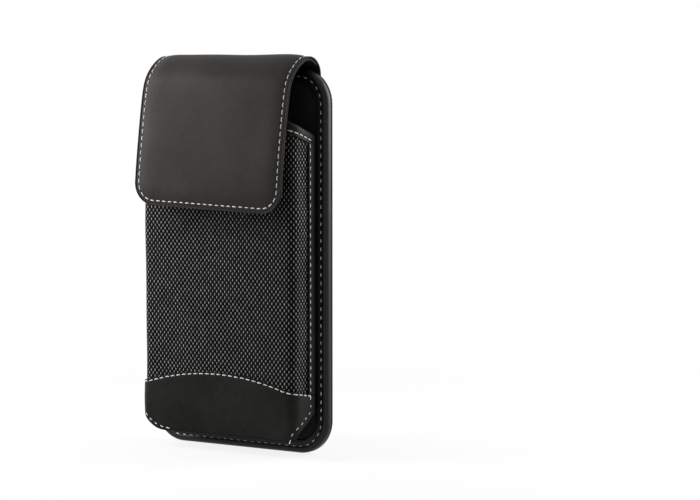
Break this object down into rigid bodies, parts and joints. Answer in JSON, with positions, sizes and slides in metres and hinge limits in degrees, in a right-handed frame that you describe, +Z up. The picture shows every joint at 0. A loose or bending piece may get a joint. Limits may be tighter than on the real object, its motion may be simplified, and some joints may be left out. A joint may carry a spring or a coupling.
{
  "type": "phone belt holster",
  "caption": "Upright leather and woven nylon phone pouch with a flap, toe cap, belt strap and a ring with a small spring-gate carabiner.",
  "frame": {"origin": "middle of the space between back panel and belt strap that a belt passes through", "axes": "+Z up towards the flap, -Y towards the pouch front, +X along the belt, to the right seen from the front"},
  "size_m": [0.097, 0.0488, 0.177],
  "materials": {
    "flap_leather": "dark warm grey leather, matt satin",
    "edge_leather": "near-black smooth leather, satin",
    "woven_nylon": "black woven nylon with grey flecks",
    "lining_cloth": "black lining cloth",
    "flap_lining": "black grained lining",
    "elastic": "black elastic webbing",
    "stiffener_board": "moulded board",
    "foam": "closed-cell foam sheet",
    "magnet_steel": "plated disc",
    "bright_wire": "polished plated wire",
    "gate_steel": "bright plated sleeve"
  },
  "bodies": {
    "holster": {"panel_lining": "lining_cloth", "panel_stiffener": "stiffener_board", "panel_foam": "foam", "rear_cover": "woven_nylon", "panel_binding": "edge_leather", "pouch_weave": "woven_nylon", "pouch_lining": "lining_cloth", "pocket_floor": "lining_cloth", "toe_cap": "edge_leather", "mouth_binding": "edge_leather", "wall_edging_right": "edge_leather", "wall_edging_left": "edge_leather", "elastic_gusset_right": "elastic", "elastic_gusset_left": "elastic", "pouch_magnet": "magnet_steel", "flap_anchor": "flap_leather", "belt_loop": "flap_leather", "belt_loop_lining": "flap_lining", "ring_tab": "edge_leather"},
    "flap": {"flap_leather": "flap_leather", "flap_lining": "flap_lining", "flap_magnet": "magnet_steel"},
    "ring": {"ring": "bright_wire"},
    "carabiner": {"carabiner_frame": "bright_wire", "gate_rivet": "gate_steel"},
    "gate": {"gate_sleeve": "gate_steel", "gate_spring": "gate_steel"}
  },
  "joints": [
    {"name": "flap_hinge", "type": "hinge", "parent": "holster", "child": "flap", "pos_m": [0, -0.006, 0.053], "axis": [-1, 0, 0], "range_deg": [0, 150]},
    {"name": "ring_pivot", "type": "hinge", "parent": "holster", "child": "ring", "pos_m": [-0.004, 0.00125, 0.03375], "axis": [1, 0, 0], "range_deg": [0, 36]},
    {"name": "carabiner_swing", "type": "hinge", "parent": "ring", "child": "carabiner", "pos_m": [-0.01076, 0.00852, 0.0357], "axis": [0, 1, 0], "range_deg": [0, 35]},
    {"name": "gate_hinge", "type": "hinge", "parent": "carabiner", "child": "gate", "pos_m": [-0.00386, 0.00852, 0.00668], "axis": [0, -1, 0], "range_deg": [0, 28], "stiffness_Nm_per_rad": 0.02, "springref_deg": -20.05}
  ]
}
